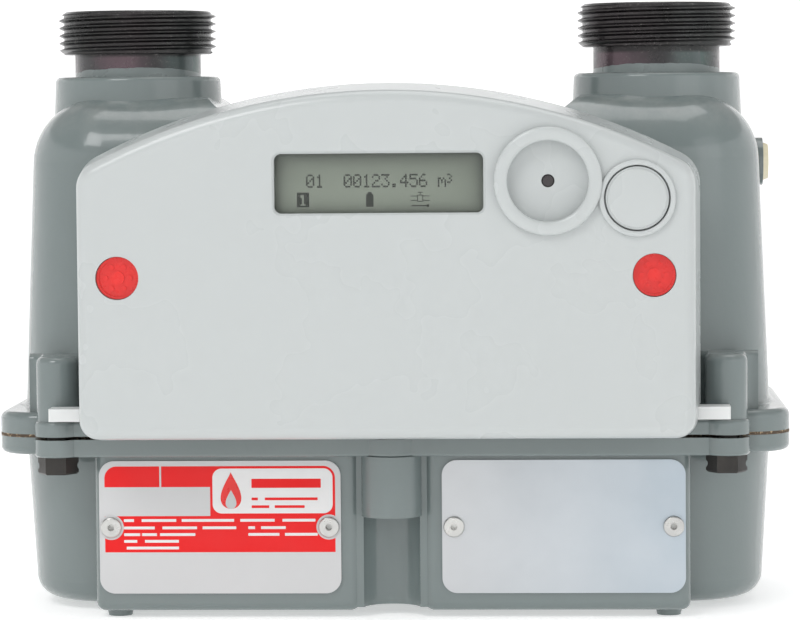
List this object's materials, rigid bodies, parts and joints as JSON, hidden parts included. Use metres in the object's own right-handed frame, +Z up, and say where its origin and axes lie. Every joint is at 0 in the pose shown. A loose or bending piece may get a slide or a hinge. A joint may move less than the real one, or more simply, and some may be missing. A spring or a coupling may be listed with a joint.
{
  "type": "gas meter",
  "caption": "Two-pipe ultrasonic gas meter: cast grey case in bolted halves, threaded top connections, white front cover with display, port and push button, internal shut-off valve.",
  "frame": {"origin": "on the surface that the meter stands on, below the middle of its bounding box", "axes": "+Z up; +X to the right seen from the front, from the inlet toward the outlet; -Y is the front"},
  "size_m": [0.225, 0.1324, 0.1733],
  "materials": {
    "case_paint": "glossy grey-green stoving enamel over die-cast aluminium",
    "ferrule_steel": "blackened steel with heat tint",
    "bolt_steel": "black oxide steel",
    "screw_steel": "zinc-plated steel",
    "gasket_fibre": "compressed brown fibre",
    "cover_plastic": "glossy white polycarbonate",
    "tray_plastic": "white moulded plastic",
    "seal_rubber": "black nitrile rubber",
    "plug_red": "glossy red plastic",
    "display_pane": "clear polycarbonate pane",
    "display_body": "grey-green liquid-crystal display",
    "port_dark": "dark infrared window",
    "plate_metal": "satin anodised aluminium",
    "rating_print": "satin aluminium printed red and white",
    "board_laminate": "green glass-epoxy board",
    "tinned_metal": "tin-plated sheet",
    "cell_sleeve": "green shrink sleeve",
    "dark_plastic": "black moulded plastic",
    "tube_plastic": "grey glass-filled plastic",
    "brass": "turned brass",
    "cream_plastic": "cream plastic",
    "lead_sleeve": "red silicone lead"
  },
  "bodies": {
    "meter": {"antenna": "tinned_metal", "back_housing": "tray_plastic", "battery_cells": "cell_sleeve", "battery_holder": "dark_plastic", "blank_plate": "plate_metal", "board_screws": "screw_steel", "bracket_screws": "screw_steel", "button_spring": "screw_steel", "case_gasket": "gasket_fibre", "centre_flange_screws": "screw_steel", "cover_screws": "screw_steel", "cover_seal": "seal_rubber", "feedthrough_connector": "dark_plastic", "feedthrough_o_ring": "seal_rubber", "ferrule_o_rings": "seal_rubber", "flow_conditioner": "tube_plastic", "flow_tube": "tube_plastic", "front_cover": "cover_plastic", "front_flange_bolts": "bolt_steel", "gas_probe": "screw_steel", "housing_screws": "screw_steel", "inlet_ferrule": "ferrule_steel", "inlet_screen": "screw_steel", "lcd_module": "display_body", "lcd_window": "display_pane", "lower_case": "case_paint", "main_board": "board_laminate", "outlet_ferrule": "ferrule_steel", "outlet_riser": "tube_plastic", "plate_rivets": "screw_steel", "port_cup": "cover_plastic", "port_lens": "port_dark", "port_magnet_plate": "screw_steel", "radio_shield": "tinned_metal", "rating_plate": "rating_print", "rear_flange_bolts": "bolt_steel", "riser_o_ring": "seal_rubber", "sensor_harness": "lead_sleeve", "side_plug": "cream_plastic", "tactile_switch": "dark_plastic", "tamper_plug_left": "plug_red", "tamper_plug_right": "plug_red", "transducer_downstream": "screw_steel", "transducer_seals": "seal_rubber", "transducer_upstream": "screw_steel", "tube_bracket": "tube_plastic", "upper_case": "case_paint", "valve_body": "dark_plastic", "valve_motor": "tinned_metal"},
    "button": {"button_cap": "cover_plastic"},
    "lead_screw": {"valve_screw": "brass"},
    "plunger": {"valve_plunger": "tube_plastic", "valve_seal": "seal_rubber"},
    "pinion": {"motor_pinion": "brass"}
  },
  "joints": [
    {"name": "button_press", "type": "slide", "parent": "meter", "child": "button", "axis": [0, 1, 0], "range_m": [0, 0.0012], "stiffness_N_per_m": 600, "springref_m": -0.001, "deforming": ["button_spring"]},
    {"name": "screw_spin", "type": "hinge", "parent": "meter", "child": "lead_screw", "pos_m": [-0.0762, 0.01125, 0.088], "axis": [0, 0, 1], "range_deg": [-680, 0]},
    {"name": "valve_slide", "type": "slide", "parent": "meter", "child": "plunger", "axis": [0, 0, 1], "range_m": [0, 0.00755]},
    {"name": "pinion_spin", "type": "hinge", "parent": "meter", "child": "pinion", "pos_m": [-0.06008, 0.01125, 0.088], "axis": [0, 0, 1], "range_deg": [0, 2041]}
  ],
  "couplings": [
    {"joint": "screw_spin", "follows": "valve_slide", "rad_per_m": -1570.8},
    {"joint": "pinion_spin", "follows": "valve_slide", "rad_per_m": 4712.4}
  ]
}
